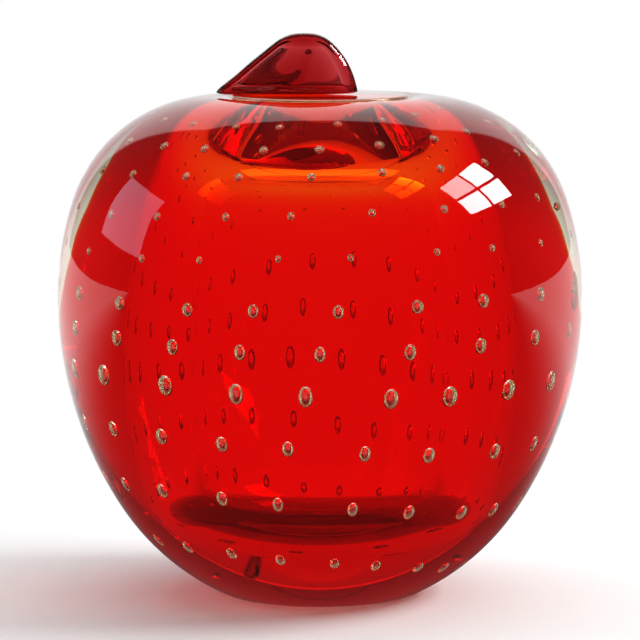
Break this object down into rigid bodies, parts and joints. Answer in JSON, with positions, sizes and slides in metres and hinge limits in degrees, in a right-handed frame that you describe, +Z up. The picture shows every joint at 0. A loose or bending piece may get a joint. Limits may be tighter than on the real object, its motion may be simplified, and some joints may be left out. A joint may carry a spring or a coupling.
{
  "type": "art glass apple",
  "caption": "Heavy hollow apple ornament in cased glass: ruby bulb inside clear glass with rows of trapped bubbles, dimpled top and a curled dark red stem.",
  "frame": {"origin": "middle of the flat polished base, on the surface that the apple stands on", "axes": "+Z up along the apple's axis; the stem leans to -X; the pictured side faces -Y"},
  "size_m": [0.12, 0.12, 0.1285],
  "materials": {
    "clear_glass": "fire-polished clear glass with a faint yellow-green tint",
    "ruby_glass": "transparent ruby glass, orange where thin and dark red where thick",
    "stem_glass": "fire-polished dark red glass"
  },
  "bodies": {
    "root": {"outer_casing": "clear_glass", "dimpled_gather": "clear_glass", "ruby_bulb": "ruby_glass", "stem_wafer": "stem_glass", "stem": "stem_glass"}
  },
  "joints": []
}
